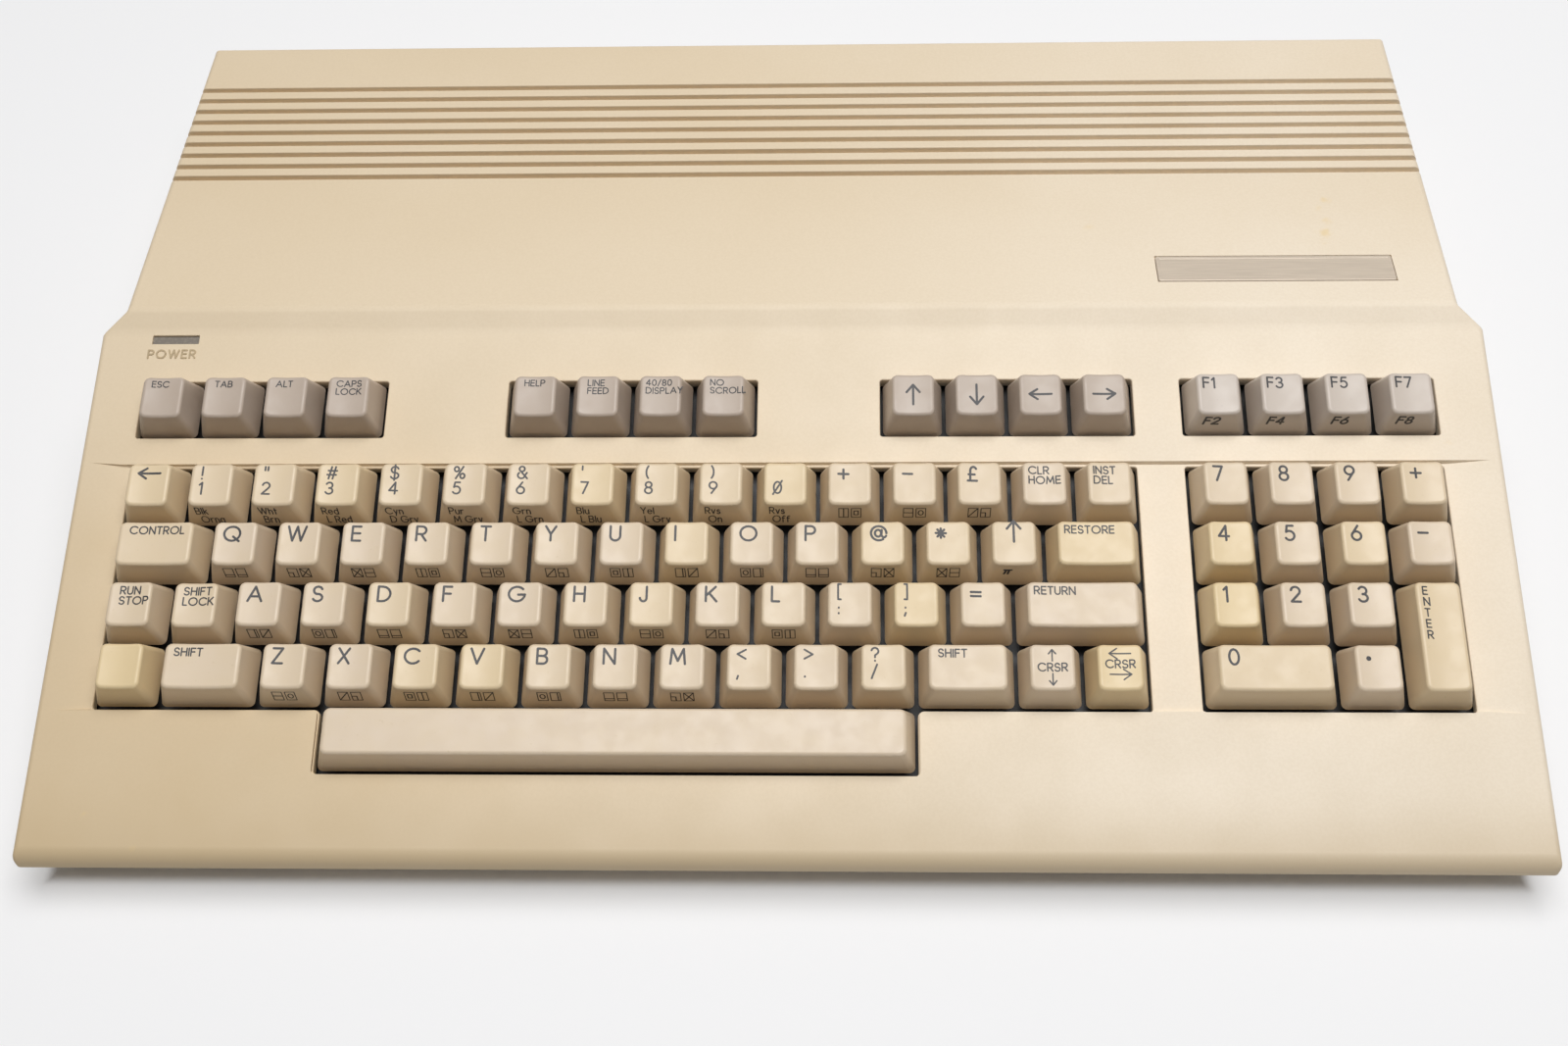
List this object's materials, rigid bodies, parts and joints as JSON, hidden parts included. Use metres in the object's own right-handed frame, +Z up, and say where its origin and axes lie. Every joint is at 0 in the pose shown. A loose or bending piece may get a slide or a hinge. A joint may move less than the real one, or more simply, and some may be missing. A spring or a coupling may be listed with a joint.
{
  "type": "home computer",
  "caption": "Wedge-shaped home computer with its keyboard built in: a sloped key deck, a ribbed rear top and sockets behind.",
  "frame": {"origin": "on the table, under the middle of the case's box", "axes": "+X to the typist's right, +Y to the back, +Z up"},
  "size_m": [0.43, 0.315, 0.0601],
  "materials": {
    "case_plastic": "fine matte grain",
    "cream_cap": "satin",
    "grey_cap": "satin",
    "badge_plate": "satin",
    "smoked_lens": "smooth",
    "lamp": "clear red",
    "foot_rubber": "matte",
    "plated_screw": "zinc plated",
    "spring_wire": "bright drawn wire",
    "dark_frame": "matte",
    "circuit_board": "solder mask",
    "tinned_sheet": "tinned",
    "black_plastic": "satin",
    "plated_shell": "nickel plated",
    "cable_grey": "smooth"
  },
  "bodies": {
    "case": {"upper_case": "case_plastic", "lower_case": "case_plastic", "name_badge": "badge_plate", "power_lens": "smoked_lens", "power_led": "lamp", "rubber_feet": "foot_rubber", "case_screws": "plated_screw", "small_screws": "plated_screw", "key_springs": "spring_wire", "keyboard_frame": "dark_frame", "keyboard_board": "circuit_board", "main_board": "circuit_board", "rf_shield": "tinned_sheet", "aerial_modulator": "tinned_sheet", "main_chips": "black_plastic", "memory_chips": "black_plastic", "cartridge_socket": "black_plastic", "round_sockets": "black_plastic", "monitor_socket": "plated_shell", "controller_sockets": "plated_shell", "power_socket": "black_plastic", "power_switch_housing": "black_plastic", "reset_housing": "black_plastic", "keyboard_cable": "cable_grey"},
    "escape_tab_alt_keys": {"escape_tab_alt_keys": "grey_cap"},
    "caps_lock_key": {"caps_lock_key": "grey_cap"},
    "help_feed_scroll_keys": {"help_feed_scroll_keys": "grey_cap"},
    "display_key": {"display_key": "grey_cap"},
    "arrow_keys": {"arrow_keys": "grey_cap"},
    "function_keys": {"function_keys": "grey_cap"},
    "back_arrow_key": {"back_arrow_key": "cream_cap"},
    "digit_keys_one_to_five": {"digit_keys_one_to_five": "cream_cap"},
    "digit_keys_six_to_zero": {"digit_keys_six_to_zero": "cream_cap"},
    "number_row_end_keys": {"number_row_end_keys": "cream_cap"},
    "control_key": {"control_key": "cream_cap"},
    "letter_keys_q_to_t": {"letter_keys_q_to_t": "cream_cap"},
    "letter_keys_y_to_p": {"letter_keys_y_to_p": "cream_cap"},
    "high_symbol_keys": {"high_symbol_keys": "cream_cap"},
    "restore_key": {"restore_key": "cream_cap"},
    "stop_key": {"stop_key": "cream_cap"},
    "shift_lock_key": {"shift_lock_key": "cream_cap"},
    "letter_keys_a_to_g": {"letter_keys_a_to_g": "cream_cap"},
    "letter_keys_h_to_l": {"letter_keys_h_to_l": "cream_cap"},
    "home_symbol_keys": {"home_symbol_keys": "cream_cap"},
    "return_key": {"return_key": "cream_cap"},
    "corner_key": {"corner_key": "cream_cap"},
    "left_shift_key": {"left_shift_key": "cream_cap"},
    "letter_keys_z_to_b": {"letter_keys_z_to_b": "cream_cap"},
    "low_keys_n_to_slash": {"low_keys_n_to_slash": "cream_cap"},
    "right_shift_key": {"right_shift_key": "cream_cap"},
    "cursor_keys": {"cursor_keys": "cream_cap"},
    "space_bar": {"space_bar": "cream_cap"},
    "pad_digit_keys": {"pad_digit_keys": "cream_cap"},
    "pad_sign_keys": {"pad_sign_keys": "cream_cap"},
    "pad_enter_key": {"pad_enter_key": "cream_cap"},
    "pad_zero_key": {"pad_zero_key": "cream_cap"},
    "space_bar_wire": {"space_bar_wire": "spring_wire"},
    "power_rocker": {"power_rocker": "black_plastic"},
    "reset_button": {"reset_button": "black_plastic"},
    "channel_slider": {"channel_slider": "black_plastic"}
  },
  "joints": [
    {"name": "escape_tab_alt_keys_press", "type": "slide", "parent": "case", "child": "escape_tab_alt_keys", "axis": [0, 0.2164, -0.9763], "range_m": [0, 0.0038], "stiffness_N_per_m": 150, "springref_m": -0.003},
    {"name": "caps_lock_key_press", "type": "slide", "parent": "case", "child": "caps_lock_key", "axis": [0, 0.2164, -0.9763], "range_m": [0, 0.0038], "stiffness_N_per_m": 150, "springref_m": -0.003},
    {"name": "help_feed_scroll_keys_press", "type": "slide", "parent": "case", "child": "help_feed_scroll_keys", "axis": [0, 0.2164, -0.9763], "range_m": [0, 0.0038], "stiffness_N_per_m": 150, "springref_m": -0.003},
    {"name": "display_key_press", "type": "slide", "parent": "case", "child": "display_key", "axis": [0, 0.2164, -0.9763], "range_m": [0, 0.0038], "stiffness_N_per_m": 150, "springref_m": -0.003},
    {"name": "arrow_keys_press", "type": "slide", "parent": "case", "child": "arrow_keys", "axis": [0, 0.2164, -0.9763], "range_m": [0, 0.0038], "stiffness_N_per_m": 150, "springref_m": -0.003},
    {"name": "function_keys_press", "type": "slide", "parent": "case", "child": "function_keys", "axis": [0, 0.2164, -0.9763], "range_m": [0, 0.0038], "stiffness_N_per_m": 150, "springref_m": -0.003},
    {"name": "back_arrow_key_press", "type": "slide", "parent": "case", "child": "back_arrow_key", "axis": [0, 0.2164, -0.9763], "range_m": [0, 0.0038], "stiffness_N_per_m": 150, "springref_m": -0.003},
    {"name": "digit_keys_one_to_five_press", "type": "slide", "parent": "case", "child": "digit_keys_one_to_five", "axis": [0, 0.2164, -0.9763], "range_m": [0, 0.0038], "stiffness_N_per_m": 150, "springref_m": -0.003},
    {"name": "digit_keys_six_to_zero_press", "type": "slide", "parent": "case", "child": "digit_keys_six_to_zero", "axis": [0, 0.2164, -0.9763], "range_m": [0, 0.0038], "stiffness_N_per_m": 150, "springref_m": -0.003},
    {"name": "number_row_end_keys_press", "type": "slide", "parent": "case", "child": "number_row_end_keys", "axis": [0, 0.2164, -0.9763], "range_m": [0, 0.0038], "stiffness_N_per_m": 150, "springref_m": -0.003},
    {"name": "control_key_press", "type": "slide", "parent": "case", "child": "control_key", "axis": [0, 0.2164, -0.9763], "range_m": [0, 0.0038], "stiffness_N_per_m": 150, "springref_m": -0.003},
    {"name": "letter_keys_q_to_t_press", "type": "slide", "parent": "case", "child": "letter_keys_q_to_t", "axis": [0, 0.2164, -0.9763], "range_m": [0, 0.0038], "stiffness_N_per_m": 150, "springref_m": -0.003},
    {"name": "letter_keys_y_to_p_press", "type": "slide", "parent": "case", "child": "letter_keys_y_to_p", "axis": [0, 0.2164, -0.9763], "range_m": [0, 0.0038], "stiffness_N_per_m": 150, "springref_m": -0.003},
    {"name": "high_symbol_keys_press", "type": "slide", "parent": "case", "child": "high_symbol_keys", "axis": [0, 0.2164, -0.9763], "range_m": [0, 0.0038], "stiffness_N_per_m": 150, "springref_m": -0.003},
    {"name": "restore_key_press", "type": "slide", "parent": "case", "child": "restore_key", "axis": [0, 0.2164, -0.9763], "range_m": [0, 0.0038], "stiffness_N_per_m": 150, "springref_m": -0.003},
    {"name": "stop_key_press", "type": "slide", "parent": "case", "child": "stop_key", "axis": [0, 0.2164, -0.9763], "range_m": [0, 0.0038], "stiffness_N_per_m": 150, "springref_m": -0.003},
    {"name": "shift_lock_key_press", "type": "slide", "parent": "case", "child": "shift_lock_key", "axis": [0, 0.2164, -0.9763], "range_m": [0, 0.003], "stiffness_N_per_m": 150, "springref_m": -0.003},
    {"name": "letter_keys_a_to_g_press", "type": "slide", "parent": "case", "child": "letter_keys_a_to_g", "axis": [0, 0.2164, -0.9763], "range_m": [0, 0.0038], "stiffness_N_per_m": 150, "springref_m": -0.003},
    {"name": "letter_keys_h_to_l_press", "type": "slide", "parent": "case", "child": "letter_keys_h_to_l", "axis": [0, 0.2164, -0.9763], "range_m": [0, 0.0038], "stiffness_N_per_m": 150, "springref_m": -0.003},
    {"name": "home_symbol_keys_press", "type": "slide", "parent": "case", "child": "home_symbol_keys", "axis": [0, 0.2164, -0.9763], "range_m": [0, 0.0038], "stiffness_N_per_m": 150, "springref_m": -0.003},
    {"name": "return_key_press", "type": "slide", "parent": "case", "child": "return_key", "axis": [0, 0.2164, -0.9763], "range_m": [0, 0.0038], "stiffness_N_per_m": 150, "springref_m": -0.003},
    {"name": "corner_key_press", "type": "slide", "parent": "case", "child": "corner_key", "axis": [0, 0.2164, -0.9763], "range_m": [0, 0.0038], "stiffness_N_per_m": 150, "springref_m": -0.003},
    {"name": "left_shift_key_press", "type": "slide", "parent": "case", "child": "left_shift_key", "axis": [0, 0.2164, -0.9763], "range_m": [0, 0.0038], "stiffness_N_per_m": 150, "springref_m": -0.003},
    {"name": "letter_keys_z_to_b_press", "type": "slide", "parent": "case", "child": "letter_keys_z_to_b", "axis": [0, 0.2164, -0.9763], "range_m": [0, 0.0038], "stiffness_N_per_m": 150, "springref_m": -0.003},
    {"name": "low_keys_n_to_slash_press", "type": "slide", "parent": "case", "child": "low_keys_n_to_slash", "axis": [0, 0.2164, -0.9763], "range_m": [0, 0.0038], "stiffness_N_per_m": 150, "springref_m": -0.003},
    {"name": "right_shift_key_press", "type": "slide", "parent": "case", "child": "right_shift_key", "axis": [0, 0.2164, -0.9763], "range_m": [0, 0.0038], "stiffness_N_per_m": 150, "springref_m": -0.003},
    {"name": "cursor_keys_press", "type": "slide", "parent": "case", "child": "cursor_keys", "axis": [0, 0.2164, -0.9763], "range_m": [0, 0.0038], "stiffness_N_per_m": 150, "springref_m": -0.003},
    {"name": "space_bar_press", "type": "slide", "parent": "case", "child": "space_bar", "axis": [0, 0.2164, -0.9763], "range_m": [0, 0.0038], "stiffness_N_per_m": 150, "springref_m": -0.003},
    {"name": "pad_digit_keys_press", "type": "slide", "parent": "case", "child": "pad_digit_keys", "axis": [0, 0.2164, -0.9763], "range_m": [0, 0.0038], "stiffness_N_per_m": 150, "springref_m": -0.003},
    {"name": "pad_sign_keys_press", "type": "slide", "parent": "case", "child": "pad_sign_keys", "axis": [0, 0.2164, -0.9763], "range_m": [0, 0.0038], "stiffness_N_per_m": 150, "springref_m": -0.003},
    {"name": "pad_enter_key_press", "type": "slide", "parent": "case", "child": "pad_enter_key", "axis": [0, 0.2164, -0.9763], "range_m": [0, 0.0038], "stiffness_N_per_m": 150, "springref_m": -0.003},
    {"name": "pad_zero_key_press", "type": "slide", "parent": "case", "child": "pad_zero_key", "axis": [0, 0.2164, -0.9763], "range_m": [0, 0.0038], "stiffness_N_per_m": 150, "springref_m": -0.003},
    {"name": "space_bar_wire_swing", "type": "hinge", "parent": "case", "child": "space_bar_wire", "pos_m": [0, -0.11602, 0.02183], "axis": [1, 0, 0], "range_deg": [0, 21]},
    {"name": "power_rocker_tip", "type": "hinge", "parent": "case", "child": "power_rocker", "pos_m": [0.20452, 0.094, 0.0296], "axis": [0, 0, 1], "range_deg": [0, 16]},
    {"name": "reset_button_press", "type": "slide", "parent": "case", "child": "reset_button", "axis": [-1, 0, 0], "range_m": [0, 0.002], "stiffness_N_per_m": 200, "springref_m": -0.001},
    {"name": "channel_slide", "type": "slide", "parent": "case", "child": "channel_slider", "axis": [1, 0, 0], "range_m": [0, 0.003]}
  ],
  "couplings": [
    {"joint": "space_bar_wire_swing", "follows": "space_bar_press", "rad_per_m": 95.07}
  ]
}
